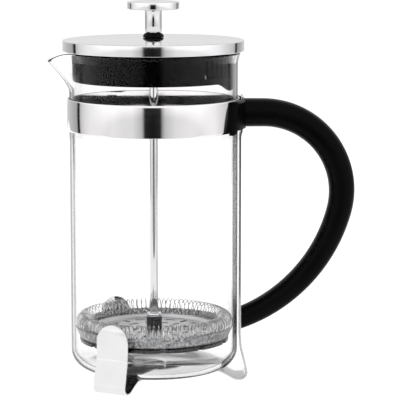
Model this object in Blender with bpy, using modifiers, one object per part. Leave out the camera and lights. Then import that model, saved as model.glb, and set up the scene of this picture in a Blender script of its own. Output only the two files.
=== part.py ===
"""French press: steel frame, glass beaker, black handle, lid, plunger and filter.

Metres, +Z up, z = 0 is the table. The handle is at +X and the spout at -X. Every piece is drawn
around the beaker's axis, and the whole is then moved so that the origin is below its middle.
"""

from math import asin, cos, hypot, pi, radians, sin

import bmesh
import bpy
from mathutils import Matrix, Vector

MM = 0.001
GAP = 0.35 * MM

# Beaker
GLASS_R = 48.5 * MM
GLASS_WALL = 1.7 * MM
GLASS_BOTTOM = 6.7 * MM
GLASS_FLOOR = 9.2 * MM
GLASS_CORNER = 11.0 * MM
RIM_Z = 190.6 * MM
RIM_R = 50.3 * MM
FLARE_START = 183.8 * MM
SPOUT_START = 168.2 * MM
SPOUT_TIP_Z = 185.4 * MM
SPOUT_REACH = 13.1 * MM
SPOUT_HALF_ANGLE = radians(31)

# Top band
BAND_IN = GLASS_R + GAP
BAND_OUT = 49.75 * MM
BAND_LOW = 145.6 * MM
BAND_TOP = 164.0 * MM

# Steel strip of the strap and the legs
STRIP_T = 1.2 * MM
STRIP_HALF = 10.0 * MM
STRAP_TOP = 165.0 * MM
STRAP_R = 49.75 * MM
STRAP_BAND_R = BAND_OUT + GAP + STRIP_T / 2
TAB_TOP = 39.5 * MM
ARM_Z = 5.7 * MM
ARM_END_R = 7.0 * MM
FOOT_R = 50.0 * MM
FOOT_BEND = 3.8 * MM
FOOT_START = 26.2 * MM
LEG_ANGLES = {"handle": 0, "front_left": 243, "back_left": 120}
RIVET_R = 12.0 * MM
RIVET_SHANK = 1.5 * MM
HUB_R = 17.0 * MM

# Handle
TOP_ARC_X = 63.1 * MM
TOP_ARC_Z = 109.9 * MM
TOP_ARC_R = 45.6 * MM
LOW_ARC_R = 93.2 * MM
ARC_JOIN = radians(-15)
HANDLE_X = STRAP_BAND_R + STRIP_T / 2 + GAP
GRIP_TOP = 16.2 * MM
GRIP_LOSS = 4.1 * MM
HANDLE_WIDE = 18.5 * MM
SADDLE_IN = BAND_OUT + GAP
SADDLE_OUT = 53.2 * MM
SADDLE_LOW = 144.7 * MM
SADDLE_TOP = 163.6 * MM
SADDLE_NOTCH_HALF = 23.0 * MM
SADDLE_NOTCH_TOP = 147.3 * MM
SADDLE_ANGLE_LOW = radians(30)
SADDLE_ANGLE_TOP = radians(26)
UPPER_SCREW_Z = 155.2 * MM
LOWER_SCREW_Z = 37.2 * MM
SCREW_R = 1.6 * MM
SCREW_HEAD_R = 3.4 * MM

# Lid
LID_R = 52.1 * MM
LID_EDGE_Z = 197.3 * MM
LID_DOME = 1.3 * MM
LID_LOW = 191.0 * MM
LID_SHEET = 0.8 * MM
LINER_R = 45.7 * MM
LINER_WALL = 2.0 * MM
LINER_FLANGE_R = 50.9 * MM
LINER_FLANGE_LOW = 191.0 * MM
LINER_LOW = 173.8 * MM
TONGUE_DROP = 4.7 * MM
TONGUE_START = 179.2 * MM
SLOT_COUNT = 6
SLOT_FIRST = -48.5
SLOT_STEP = 5.2
SLOT_HALF = 1.1 * MM
SLOT_LOW = 176.6 * MM
SLOT_TOP = 187.8 * MM
BUSH_HOLE_R = 4.9 * MM
BUSH_R = 6.1 * MM
BUSH_TOP = 201.5 * MM
BUSH_LOW = 189.8 * MM

# Plunger
ROD_R = 2.4 * MM
BORE_R = ROD_R + GAP
ROD_LOW = 18.8 * MM
ROD_TOP = 217.1 * MM
STEM_R = 4.83 * MM
STEM_LOW = 201.8 * MM
STEM_TOP = 214.4 * MM
KNOB_R = 14.95 * MM
KNOB_LOW = 214.7 * MM
KNOB_TOP = 219.2 * MM
KNOB_BORE_TOP = 217.5 * MM

# Filter
COIL_RING_R = 41.4 * MM
COIL_R = 4.2 * MM
COIL_Z = 34.2 * MM
COIL_TURNS = 86
COIL_POINTS = 6
COIL_RISE = COIL_R / cos(pi / 6)  # so that six-sided turns are as high as round ones
WIRE_R = 0.35 * MM
PLATE_R = 37.3 * MM
PLATE_LOW = 27.2 * MM
PLATE_T = 0.9 * MM
PLATE_RIM_TOP = 30.2 * MM
MESH_Z = 25.3 * MM
MESH_T = 0.35 * MM
MESH_R = 46.0 * MM
MESH_TOP = 32.0 * MM
CROSS_R = 43.3 * MM
CROSS_LOW = 22.9 * MM
CROSS_T = 2.0 * MM
NOTCH_COUNT = 12
WINDOW_COUNT = 6
HUB_NUT_R = 4.5 * MM
HUB_NUT_LOW = 28.45 * MM
HUB_NUT_TOP = 35.7 * MM

ROUND_STEPS = 36

# The origin is below the middle of the whole object, so the beaker's axis stands to one side of it
AXIS_X = -27.44 * MM


def clear_scene():
    for obj in list(bpy.data.objects):
        bpy.data.objects.remove(obj, do_unlink=True)


def collection(name):
    made = bpy.data.collections.new(name)
    bpy.context.scene.collection.children.link(made)
    return made


clear_scene()
PARTS = collection("french_press")
GUIDES = collection("guides")


def material(name, colour, roughness, metallic=0.0, transmission=0.0):
    mat = bpy.data.materials.new(name)
    mat.use_nodes = True
    shader = mat.node_tree.nodes["Principled BSDF"]
    shader.inputs["Base Color"].default_value = (*colour, 1.0)
    shader.inputs["Roughness"].default_value = roughness
    shader.inputs["Metallic"].default_value = metallic
    shader.inputs["Transmission Weight"].default_value = transmission
    return mat


GLASS = material("beaker_glass", (0.95, 0.97, 0.97), 0.02, 0.0, 1.0)
CHROME = material("polished_chrome", (0.86, 0.86, 0.87), 0.06, 1.0)
STEEL = material("satin_steel", (0.78, 0.77, 0.78), 0.22, 1.0)
FILTER_STEEL = material("filter_steel", (0.62, 0.62, 0.64), 0.28, 1.0)
DARK_STEEL = material("dark_steel", (0.20, 0.20, 0.21), 0.35, 1.0)
HANDLE_BLACK = material("handle_black", (0.012, 0.012, 0.012), 0.38)
LID_BLACK = material("lid_black", (0.018, 0.018, 0.019), 0.30)


def add_object(name, data, mat=None, guide=False):
    obj = bpy.data.objects.new(name, data)
    if mat:
        data.materials.append(mat)
    (GUIDES if guide else PARTS).objects.link(obj)
    if guide:
        obj.hide_render = True
        obj.display_type = "WIRE"
    return obj


def mesh_object(name, bm, mat=None, guide=False, smooth=True):
    bmesh.ops.recalc_face_normals(bm, faces=bm.faces)
    mesh = bpy.data.meshes.new(name)
    bm.to_mesh(mesh)
    bm.free()
    if smooth:
        mesh.shade_smooth()
        mesh.set_sharp_from_angle(angle=radians(35))
    return add_object(name, mesh, mat, guide)


def turned(name, profile, mat, steps=ROUND_STEPS, closed=True):
    """Turns (radius, height) points about Z; a closed profile makes a ring, an open one ends on Z."""
    mesh = bpy.data.meshes.new(name)
    count = len(profile)
    edges = [(i, i + 1) for i in range(count - 1)]
    if closed:
        edges.append((count - 1, 0))
    mesh.from_pydata([(r, 0.0, z) for r, z in profile], edges, [])
    obj = add_object(name, mesh, mat)
    screw = obj.modifiers.new("Turn", "SCREW")
    screw.steps = steps
    screw.render_steps = steps
    screw.use_merge_vertices = True
    screw.merge_threshold = 0.00001
    screw.use_smooth_shade = True
    return obj


def arc(centre_x, centre_z, radius, start, end, count):
    """Points of an arc from start to end in degrees, both ends included."""
    points = []
    for i in range(count + 1):
        angle = radians(start + (end - start) * i / count)
        points.append((centre_x + radius * cos(angle), centre_z + radius * sin(angle)))
    return points


def ring_profile(inner, outer, low, top, edge=0.0):
    """A ring's closed profile, down its outer side, with a small chamfer on the outer corners."""
    if edge == 0.0:
        return [(inner, top), (outer, top), (outer, low), (inner, low)]
    return [
        (inner, top),
        (outer - edge, top),
        (outer, top - edge),
        (outer, low + edge),
        (outer - edge, low),
        (inner, low),
    ]


def cut(obj, cutter):
    boolean = obj.modifiers.new("Cut", "BOOLEAN")
    boolean.operation = "DIFFERENCE"
    boolean.solver = "EXACT"
    boolean.object = cutter


def join(obj, other):
    boolean = obj.modifiers.new("Join", "BOOLEAN")
    boolean.operation = "UNION"
    boolean.solver = "EXACT"
    boolean.object = other


def box_guide(name, low, high, turns=(0.0,)):
    """Boxes between two corners, one for each turn in degrees about Z, in one guide."""
    bm = bmesh.new()
    size = Vector(high) - Vector(low)
    middle = (Vector(high) + Vector(low)) / 2
    for turn in turns:
        place = Matrix.Rotation(radians(turn), 4, "Z") @ Matrix.Translation(middle)
        place = place @ Matrix.Diagonal((*size, 1.0))
        bmesh.ops.create_cube(bm, size=1.0, matrix=place)
    return mesh_object(name, bm, guide=True, smooth=False)


def rod_guide(name, radius, start, end, segments=16):
    """A straight round bar between two points, used to drill a hole."""
    bm = bmesh.new()
    start, end = Vector(start), Vector(end)
    along = end - start
    turn = along.to_track_quat("Z", "Y").to_matrix().to_4x4()
    bmesh.ops.create_cone(
        bm,
        cap_ends=True,
        segments=segments,
        radius1=radius,
        radius2=radius,
        depth=along.length,
        matrix=Matrix.Translation((start + end) / 2) @ turn,
    )
    return mesh_object(name, bm, guide=True, smooth=False)


def skin_rings(name, rings, mat, closed=False, guide=False):
    """Lofts equal rings of points into one body; open lofts get a flat face on each end."""
    bm = bmesh.new()
    rows = [[bm.verts.new(p) for p in ring] for ring in rings]
    pairs = list(zip(rows, rows[1:]))
    if closed:
        pairs.append((rows[-1], rows[0]))
    for here, there in pairs:
        for i in range(len(here)):
            j = (i + 1) % len(here)
            bm.faces.new((here[i], here[j], there[j], there[i]))
    if not closed:
        bm.faces.new(rows[0])
        bm.faces.new(rows[-1])
    return mesh_object(name, bm, mat, guide)


# ---------------------------------------------------------------- beaker

def spout_weight(angle):
    """1 on the spout's middle line at -X, falling to 0 at its sides."""
    off = abs(angle - pi)
    if off >= SPOUT_HALF_ANGLE:
        return 0.0
    return (0.5 + 0.5 * cos(pi * off / SPOUT_HALF_ANGLE)) ** 1.25


def beaker_angles():
    """Angles about Z, closer together across the spout."""
    spout = [pi - SPOUT_HALF_ANGLE + SPOUT_HALF_ANGLE * i / 7 for i in range(15)]
    start = spout[-1]
    span = 2 * pi - 2 * SPOUT_HALF_ANGLE
    return spout + [start + span * i / 32 for i in range(1, 32)]


def flare(z):
    share = max(0.0, (z - FLARE_START) / (RIM_Z - FLARE_START))
    return (RIM_R - GLASS_R) * share**1.6


def wall_point(radius, z, angle):
    """A point of the upper wall, drawn out into the spout near -X."""
    share = max(0.0, (z - SPOUT_START) / (RIM_Z - SPOUT_START))
    weight = spout_weight(angle)
    reach = flare(z) + weight * (SPOUT_REACH * share**1.3 - flare(z))
    height = z - weight**1.9 * share * (RIM_Z - SPOUT_TIP_Z)
    return ((radius + reach) * cos(angle), (radius + reach) * sin(angle), height)


def make_beaker():
    upper = [SPOUT_START + (RIM_Z - SPOUT_START) * i / 7 for i in range(8)]
    inner_r = GLASS_R - GLASS_WALL
    corner_x = GLASS_R - GLASS_CORNER
    outer = [(14 * MM, GLASS_BOTTOM)]
    outer += arc(corner_x, GLASS_BOTTOM + GLASS_CORNER, GLASS_CORNER, -90, 0, 5)
    outer += [(GLASS_R, z) for z in [90 * MM, *upper[:-1]]]
    inner_corner = GLASS_CORNER - GLASS_WALL
    floor_x = inner_r - inner_corner
    inner = [(inner_r, z) for z in reversed([90 * MM, *upper[:-1]])]
    inner += arc(floor_x, GLASS_FLOOR + inner_corner, inner_corner, 0, -90, 5)
    inner += [(14 * MM, GLASS_FLOOR)]
    lip = GLASS_WALL / 2
    rim = [
        (GLASS_R, RIM_Z - lip * 0.6),
        (GLASS_R - lip * 0.5, RIM_Z),
        (GLASS_R - lip * 1.5, RIM_Z),
        (GLASS_R - GLASS_WALL, RIM_Z - lip * 0.6),
    ]
    angles = beaker_angles()
    rings = [[wall_point(r, z, a) for a in angles] for r, z in outer + rim + inner]
    skin_rings("glass_beaker", rings, GLASS)


# ---------------------------------------------------------------- frame

def make_band():
    crown = 0.25 * MM
    middle = (BAND_LOW + BAND_TOP) / 2
    edge = 0.3 * MM
    profile = [
        (BAND_IN, BAND_TOP),
        (BAND_OUT - crown - edge, BAND_TOP),
        (BAND_OUT - crown, BAND_TOP - edge),
        (BAND_OUT, middle + 4 * MM),
        (BAND_OUT, middle - 4 * MM),
        (BAND_OUT - crown, BAND_LOW + edge),
        (BAND_OUT - crown - edge, BAND_LOW),
        (BAND_IN, BAND_LOW),
    ]
    return turned("top_band", profile, STEEL, steps=60)


def foot_path():
    """Middle line of the foot, from the outer leg round the bend to the arm under the beaker."""
    leg = [(STRAP_R, FOOT_START), (50.3 * MM, 19.2 * MM), (51.9 * MM, 12.8 * MM)]
    bend_z = STRIP_T / 2 + FOOT_BEND
    bend = arc(FOOT_R, bend_z, FOOT_BEND, 12, -90, 6)
    flat = [(FOOT_R - 2.4 * MM, STRIP_T / 2), (FOOT_R - 4.6 * MM, 1.6 * MM)]
    arm = [(41 * MM, 4.2 * MM), (37.5 * MM, ARM_Z), (ARM_END_R, ARM_Z)]
    return leg + bend + flat + arm


def strip(name, path, halves, turn, mat):
    """A flat strip of one thickness along (radius, height) points, turned about Z."""
    rings = []
    for i, (x, z) in enumerate(path):
        before = path[max(i - 1, 0)]
        after = path[min(i + 1, len(path) - 1)]
        dx, dz = after[0] - before[0], after[1] - before[1]
        length = hypot(dx, dz)
        nx, nz = -dz / length * STRIP_T / 2, dx / length * STRIP_T / 2
        half = halves[i]
        ring = [(x + nx, -half, z + nz), (x + nx, half, z + nz)]
        ring += [(x - nx, half, z - nz), (x - nx, -half, z - nz)]
        rings.append([Matrix.Rotation(radians(turn), 3, "Z") @ Vector(p) for p in ring])
    return skin_rings(name, rings, mat)


def make_strap():
    top = [(STRAP_BAND_R, STRAP_TOP), (STRAP_BAND_R, BAND_LOW + 0.2 * MM)]
    jog = [(STRAP_R, BAND_LOW - 2.8 * MM)]
    path = top + jog + foot_path()
    strap = strip("handle_strap", path, [STRIP_HALF] * len(path), 0, STEEL)
    for label, x, z in (
        ("upper", STRAP_BAND_R, UPPER_SCREW_Z),
        ("lower", STRAP_R, LOWER_SCREW_Z),
    ):
        cut(strap, rod_guide(f"strap_{label}_hole", SCREW_R + GAP, (x - 3 * MM, 0, z), (x + 3 * MM, 0, z)))
    sink = rod_guide(
        "strap_sink",
        SCREW_HEAD_R + GAP,
        (STRAP_R - STRIP_T / 2 - 0.1 * MM, 0, LOWER_SCREW_Z),
        (STRAP_R - STRIP_T / 2 + 0.75 * MM, 0, LOWER_SCREW_Z),
    )
    cut(strap, sink)
    rivet_hole(strap, 0)
    return strap


def rivet_hole(obj, turn):
    x, y = RIVET_R * cos(radians(turn)), RIVET_R * sin(radians(turn))
    low, high = (x, y, 0.0), (x, y, 8 * MM)
    cut(obj, rod_guide(f"rivet_hole_{obj.name}_{turn}", RIVET_SHANK + GAP, low, high))


def make_leg(name, turn):
    """A short leg whose rounded tab stands against the beaker."""
    tab = []
    halves = []
    centre_z = TAB_TOP - STRIP_HALF
    for angle in (82, 70, 56, 42, 28, 14, 0):
        tab.append((STRAP_R, centre_z + STRIP_HALF * sin(radians(angle))))
        halves.append(STRIP_HALF * cos(radians(angle)))
    tab[0] = (STRAP_R, TAB_TOP)
    path = tab + foot_path()
    leg = strip(name, path, halves + [STRIP_HALF] * (len(path) - len(halves)), turn, STEEL)
    rivet_hole(leg, turn)


def make_hub():
    """The disc that ties the three arms together under the beaker, with one rivet for each."""
    top = ARM_Z - STRIP_T / 2 - GAP
    low = top - STRIP_T
    hub = turned("base_hub", [(0, top), (HUB_R, top), (HUB_R, low), (0, low)], STEEL, closed=False)
    for label, turn in LEG_ANGLES.items():
        rivet_hole(hub, turn)
        make_rivet(f"base_rivet_{label}", turn)


def make_rivet(name, turn):
    head_top = ARM_Z - STRIP_T * 1.5 - 2 * GAP
    head_low = head_top - MM
    top = ARM_Z + STRIP_T / 2
    profile = [(0, top), (RIVET_SHANK, top), (RIVET_SHANK, head_top), (2.9 * MM, head_top)]
    profile += [(2.6 * MM, head_low + 0.4 * MM), (1.6 * MM, head_low), (0, head_low)]
    rivet = turned(name, profile, STEEL, steps=16, closed=False)
    rivet.location = (RIVET_R * cos(radians(turn)), RIVET_R * sin(radians(turn)), 0)


# ---------------------------------------------------------------- handle

def handle_line():
    """Middle line of the handle with its direction angle: straight, then two tangent arcs."""
    top_z = TOP_ARC_Z + TOP_ARC_R
    points = [(HANDLE_X + (TOP_ARC_X - HANDLE_X) * i / 2, top_z, pi / 2) for i in range(2)]
    for i in range(15):
        angle = pi / 2 + (ARC_JOIN - pi / 2) * i / 14
        x, z = TOP_ARC_X + TOP_ARC_R * cos(angle), TOP_ARC_Z + TOP_ARC_R * sin(angle)
        points.append((x, z, angle))
    low_x = TOP_ARC_X + (TOP_ARC_R - LOW_ARC_R) * cos(ARC_JOIN)
    low_z = TOP_ARC_Z + (TOP_ARC_R - LOW_ARC_R) * sin(ARC_JOIN)
    last = -pi / 2 + asin((44 * MM - low_x) / LOW_ARC_R)
    for i in range(1, 11):
        angle = ARC_JOIN + (last - ARC_JOIN) * i / 10
        points.append((low_x + LOW_ARC_R * cos(angle), low_z + LOW_ARC_R * sin(angle), angle))
    return points


def line_shares(points):
    run = [0.0]
    for here, there in zip(points, points[1:]):
        run.append(run[-1] + hypot(there[0] - here[0], there[1] - here[1]))
    return [value / run[-1] for value in run]


def rounded_section(half_a, half_b, count=16, power=2.5):
    """A superellipse between an oval and a rounded box."""
    points = []
    for i in range(count):
        c, s = cos(2 * pi * i / count), sin(2 * pi * i / count)
        a = half_a * abs(c) ** (2 / power) * (1 if c >= 0 else -1)
        b = half_b * abs(s) ** (2 / power) * (1 if s >= 0 else -1)
        points.append((a, b))
    return points


def make_handle():
    points = handle_line()
    rings = []
    for (x, z, angle), share in zip(points, line_shares(points)):
        thick = GRIP_TOP - GRIP_LOSS * share**1.3
        wide = HANDLE_WIDE - 3.5 * MM * share
        ring = []
        for out, side in rounded_section(thick / 2, wide / 2):
            ring.append((x + out * cos(angle), side, z + out * sin(angle)))
        rings.append(ring)
    handle = skin_rings("handle", rings, HANDLE_BLACK)
    low_end = STRAP_R + STRIP_T / 2 + GAP
    cut(handle, box_guide("handle_low_end", (0.03, -0.02, 0.0), (low_end, 0.02, 0.08)))
    join(handle, make_saddle())
    notch = (0.03, -STRIP_HALF - GAP, 0.12), (HANDLE_X, STRIP_HALF + GAP, 0.2)
    cut(handle, box_guide("strap_recess", *notch))
    half = SADDLE_NOTCH_HALF
    lower_notch = (0.03, -half, 0.12), (SADDLE_OUT + 3 * MM, half, SADDLE_NOTCH_TOP)
    cut(handle, box_guide("saddle_notch", *lower_notch))
    bore_ends = (("upper", UPPER_SCREW_Z, 66.5 * MM), ("lower", LOWER_SCREW_Z, 60.8 * MM))
    for label, z, end in bore_ends:
        bore = rod_guide(f"handle_{label}_bore", SCREW_R + GAP, (45 * MM, 0, z), (end, 0, z))
        cut(handle, bore)


def make_saddle():
    """The curved pad that spreads the handle's upper end round the band."""
    rings = []
    heights = [SADDLE_LOW + (SADDLE_TOP - SADDLE_LOW) * i / 6 for i in range(7)]
    for i, z in enumerate(heights):
        share = i / 6
        edge = SADDLE_ANGLE_LOW + (SADDLE_ANGLE_TOP - SADDLE_ANGLE_LOW) * share
        outer = SADDLE_OUT - (1.0 * MM if i == 0 else 0.0) - (0.6 * MM if i == 6 else 0.0)
        angles = [-edge + 2 * edge * k / 12 for k in range(13)]
        ring = [(outer * cos(a), outer * sin(a), z) for a in angles]
        ring += [(SADDLE_IN * cos(a), SADDLE_IN * sin(a), z) for a in reversed(angles)]
        rings.append(ring)
    return skin_rings("saddle_guide", rings, None, guide=True)


def make_screw(name, inner_x, z, length):
    """A flat-headed screw along +X, its head against the inside of the strip or band."""
    head_t = 0.6 * MM
    profile = [(0, 0), (SCREW_HEAD_R, 0), (SCREW_HEAD_R, -head_t), (SCREW_R, -head_t)]
    profile += [(SCREW_R, -length + 1.2 * MM), (0.5 * MM, -length), (0, -length)]
    screw = turned(name, profile, STEEL, steps=16, closed=False)
    screw.location = (inner_x, 0, z)
    screw.rotation_euler = (0, -pi / 2, 0)


# ---------------------------------------------------------------- lid

def dome(radius):
    return LID_EDGE_Z + LID_DOME * (1 - (radius / LID_R) ** 2)


def make_lid_cover():
    edge = 1.0 * MM
    radii = [BUSH_HOLE_R, 15 * MM, 27 * MM, 38 * MM, LID_R - edge]
    outer = [(r, dome(r)) for r in radii]
    outer += arc(LID_R - edge, LID_EDGE_Z - edge, edge, 68, 0, 4)
    inner_r = LID_R - LID_SHEET
    inner = [(inner_r, LID_LOW), (inner_r, LID_EDGE_Z - edge)]
    inner += [(r - (0.4 * MM if r > 50 * MM else 0), dome(r) - LID_SHEET) for r in reversed(radii)]
    turned("lid_cover", outer + [(LID_R, LID_LOW)] + inner, CHROME, steps=56)


def tongue(angle):
    """1 on the handle side, where the liner hangs lower, 0 elsewhere."""
    off = abs((angle + pi) % (2 * pi) - pi)
    share = min(1.0, max(0.0, (radians(38) - off) / radians(23)))
    return share * share * (3 - 2 * share)


def make_lid_liner():
    roof = 1.9 * MM
    under = dome(0) - LID_SHEET - GAP - LID_DOME
    inner = LINER_R - LINER_WALL
    outer = [(BUSH_HOLE_R, under + LID_DOME), (30 * MM, under + 0.7 * MM), (50 * MM, under)]
    outer += [(LINER_FLANGE_R, under - 0.9 * MM), (LINER_FLANGE_R, LINER_FLANGE_LOW)]
    outer += [(LINER_R + 0.1 * MM, LINER_FLANGE_LOW), (LINER_R, LINER_FLANGE_LOW - 1 * MM)]
    outer += [(LINER_R, TONGUE_START + 2 * MM), (LINER_R, LINER_LOW + 1.6 * MM)]
    low = [(LINER_R - 0.5 * MM, LINER_LOW + 0.5 * MM), (LINER_R - 1.4 * MM, LINER_LOW)]
    low += [(inner, LINER_LOW), (inner, TONGUE_START + 2 * MM), (inner, under - roof - 1 * MM)]
    roof_low = [(inner - 1 * MM, under - roof), (30 * MM, under - roof), (BUSH_HOLE_R, under - roof)]
    angles = [2 * pi * i / 48 for i in range(48)]
    rings = []
    for r, z in outer + low + roof_low:
        drop = TONGUE_DROP if z < TONGUE_START else 0.0
        rings.append([(r * cos(a), r * sin(a), z - drop * tongue(a)) for a in angles])
    liner = skin_rings("lid_liner", rings, LID_BLACK, closed=True)
    turns = [SLOT_FIRST + SLOT_STEP * i for i in range(SLOT_COUNT)]
    low_corner = (LINER_R - 4 * MM, -SLOT_HALF, SLOT_LOW)
    top_corner = (LINER_R + 4 * MM, SLOT_HALF, SLOT_TOP)
    cut(liner, box_guide("strainer_slots", low_corner, top_corner, turns))


def make_bush():
    collar = BUSH_HOLE_R - GAP
    top_z = dome(0) + GAP
    profile = [(BORE_R, BUSH_TOP), (4.0 * MM, BUSH_TOP), (5.2 * MM, BUSH_TOP - 0.7 * MM)]
    profile += [(5.9 * MM, BUSH_TOP - 1.8 * MM), (BUSH_R, top_z + 0.2 * MM), (BUSH_R, top_z)]
    profile += [(collar, top_z), (collar, BUSH_LOW), (BORE_R, BUSH_LOW)]
    turned("lid_bush", profile, LID_BLACK, steps=24)


def hex_nut(name, across, bore, low, top, mat):
    bm = bmesh.new()
    place = Matrix.Translation((0, 0, (low + top) / 2))
    radius = across / 2 / cos(pi / 6)
    bmesh.ops.create_cone(
        bm, cap_ends=True, segments=6, radius1=radius, radius2=radius, depth=top - low, matrix=place
    )
    nut = mesh_object(name, bm, mat, smooth=False)
    cut(nut, rod_guide(f"{name}_bore", bore, (0, 0, low - MM), (0, 0, top + MM)))


# ---------------------------------------------------------------- plunger

def make_plunger():
    tip = 0.5 * MM
    rod = [(0, ROD_TOP), (ROD_R - tip, ROD_TOP), (ROD_R, ROD_TOP - tip)]
    rod += [(ROD_R, ROD_LOW + tip), (ROD_R - tip, ROD_LOW), (0, ROD_LOW)]
    turned("plunger_rod", rod, CHROME, steps=20, closed=False)
    turned("knob_stem", ring_profile(BORE_R, STEM_R, STEM_LOW, STEM_TOP, 0.3 * MM), CHROME, steps=24)
    edge = 0.6 * MM
    knob = [(0, KNOB_TOP), (KNOB_R - edge, KNOB_TOP), (KNOB_R, KNOB_TOP - edge)]
    knob += [(KNOB_R, KNOB_LOW + edge), (KNOB_R - edge, KNOB_LOW), (BORE_R, KNOB_LOW)]
    knob += [(BORE_R, KNOB_BORE_TOP), (0, KNOB_BORE_TOP)]
    turned("knob", knob, CHROME, closed=False)


# ---------------------------------------------------------------- filter

def make_spring():
    curve = bpy.data.curves.new("filter_spring", "CURVE")
    curve.dimensions = "3D"
    curve.bevel_depth = WIRE_R
    curve.bevel_resolution = 2
    spline = curve.splines.new("POLY")
    count = COIL_TURNS * COIL_POINTS
    spline.points.add(count - 1)
    for i in range(count):
        around = 2 * pi * i / count
        turn = 2 * pi * i / COIL_POINTS
        r = COIL_RING_R + COIL_R * cos(turn)
        z = COIL_Z + COIL_RISE * sin(turn)
        spline.points[i].co = (r * cos(around), r * sin(around), z, 1.0)
    spline.use_cyclic_u = True
    add_object("filter_spring", curve, FILTER_STEEL)


def slot_guide():
    """Three rings of slots, along and across in turn."""
    bm = bmesh.new()
    long_side, short_side = 6.4 * MM, 2.4 * MM
    for ring, (radius, count) in enumerate(((11.5 * MM, 8), (20 * MM, 14), (29 * MM, 20))):
        for i in range(count):
            across = (i + ring) % 2 == 0
            size = (short_side, long_side) if across else (long_side, short_side)
            place = Matrix.Rotation(2 * pi * i / count, 4, "Z")
            place = place @ Matrix.Translation((radius, 0, PLATE_LOW))
            place = place @ Matrix.Diagonal((*size, 4 * MM, 1.0))
            bmesh.ops.create_cube(bm, size=1.0, matrix=place)
    return mesh_object("plate_slots", bm, guide=True, smooth=False)


def make_filter():
    top = PLATE_LOW + PLATE_T
    bead = 0.9 * MM
    profile = [(BORE_R, top), (PLATE_R - 2.6 * MM, top), (PLATE_R - 1.8 * MM, PLATE_RIM_TOP - bead)]
    profile += [(PLATE_R - 1.4 * MM, PLATE_RIM_TOP), (PLATE_R, PLATE_RIM_TOP - 0.3 * MM)]
    profile += [(PLATE_R, PLATE_RIM_TOP - bead), (PLATE_R - 1.2 * MM, PLATE_LOW), (BORE_R, PLATE_LOW)]
    plate = turned("perforated_plate", profile, FILTER_STEEL, steps=40)
    cut(plate, slot_guide())

    mesh_low = [(MESH_R, MESH_TOP - 0.1 * MM), (43.3 * MM, MESH_Z), (BORE_R, MESH_Z)]
    mesh_top = [(BORE_R, MESH_Z + MESH_T), (43.0 * MM, MESH_Z + MESH_T), (MESH_R - MESH_T, MESH_TOP)]
    turned("mesh_screen", mesh_top + mesh_low, FILTER_STEEL, steps=40)

    cross = ring_profile(BORE_R, CROSS_R, CROSS_LOW, CROSS_LOW + CROSS_T, 0.3 * MM)
    bottom = turned("bottom_plate", cross, DARK_STEEL, steps=40)
    notches = [(CROSS_R - 1.6 * MM, -1.8 * MM, 0.02), (CROSS_R + 3 * MM, 1.8 * MM, 0.026)]
    turns = [8 + 360 / NOTCH_COUNT * i for i in range(NOTCH_COUNT)]
    cut(bottom, box_guide("edge_notches", *notches, turns))
    windows = [(14 * MM, -4 * MM, 0.02), (34 * MM, 4 * MM, 0.026)]
    cut(bottom, box_guide("plate_windows", *windows, [360 / WINDOW_COUNT * i for i in range(WINDOW_COUNT)]))

    hub = ring_profile(BORE_R, HUB_NUT_R, HUB_NUT_LOW, HUB_NUT_TOP, 0.25 * MM)
    turned("hub_spacer", hub, DARK_STEEL, steps=20)
    washer_low = HUB_NUT_TOP + GAP
    washer = ring_profile(BORE_R, 4.3 * MM, washer_low, washer_low + 2.1 * MM, 0.6 * MM)
    turned("hub_nut", washer, CHROME, steps=20)
    pad_low = MESH_Z + MESH_T + GAP
    pad = ring_profile(BORE_R, 6.5 * MM, pad_low, PLATE_LOW - GAP, 0.1 * MM)
    turned("screen_washer", pad, STEEL, steps=20)
    hex_nut("bottom_nut", 8.0 * MM, BORE_R, ROD_LOW + 0.8 * MM, CROSS_LOW - GAP, STEEL)


def make_frame():
    band = make_band()
    hole_ends = (0.045, 0, UPPER_SCREW_Z), (0.055, 0, UPPER_SCREW_Z)
    cut(band, rod_guide("band_hole", SCREW_HEAD_R + GAP, *hole_ends))
    make_strap()
    make_leg("front_left_leg", LEG_ANGLES["front_left"])
    make_leg("back_left_leg", LEG_ANGLES["back_left"])
    make_hub()
    make_handle()


make_frame()
make_beaker()
make_lid_cover()
make_lid_liner()
make_bush()
hex_nut("bush_nut", 13 * MM, BUSH_HOLE_R, BUSH_LOW + 0.6 * MM, BUSH_LOW + 4.1 * MM, STEEL)
make_plunger()
make_filter()
make_spring()
make_screw("upper_handle_screw", 49.3 * MM, UPPER_SCREW_Z, 15 * MM)
make_screw("lower_handle_screw", STRAP_R - STRIP_T / 2 + 0.05 * MM, LOWER_SCREW_Z, 10.5 * MM)

for obj in list(PARTS.objects) + list(GUIDES.objects):
    obj.location.x += AXIS_X
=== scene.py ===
"""French press: the looks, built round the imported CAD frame."""

from math import acos, asin, cos, hypot, pi, radians, sin, tan

import bmesh
import bpy
from mathutils import Matrix, Vector


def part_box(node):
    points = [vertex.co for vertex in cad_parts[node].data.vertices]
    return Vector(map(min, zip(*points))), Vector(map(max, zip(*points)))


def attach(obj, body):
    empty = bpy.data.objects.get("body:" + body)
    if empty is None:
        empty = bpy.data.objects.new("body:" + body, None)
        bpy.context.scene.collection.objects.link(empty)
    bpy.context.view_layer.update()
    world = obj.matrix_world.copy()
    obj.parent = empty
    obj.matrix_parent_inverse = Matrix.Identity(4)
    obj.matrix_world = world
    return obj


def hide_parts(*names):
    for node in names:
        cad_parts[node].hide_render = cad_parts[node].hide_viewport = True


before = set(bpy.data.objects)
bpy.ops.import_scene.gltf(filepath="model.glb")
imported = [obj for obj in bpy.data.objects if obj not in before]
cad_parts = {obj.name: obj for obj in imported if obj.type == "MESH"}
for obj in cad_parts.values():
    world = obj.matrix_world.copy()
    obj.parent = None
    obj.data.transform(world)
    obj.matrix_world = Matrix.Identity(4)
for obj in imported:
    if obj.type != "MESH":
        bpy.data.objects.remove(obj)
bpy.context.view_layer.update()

MM = 0.001
GAP = 0.35 * MM


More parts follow.
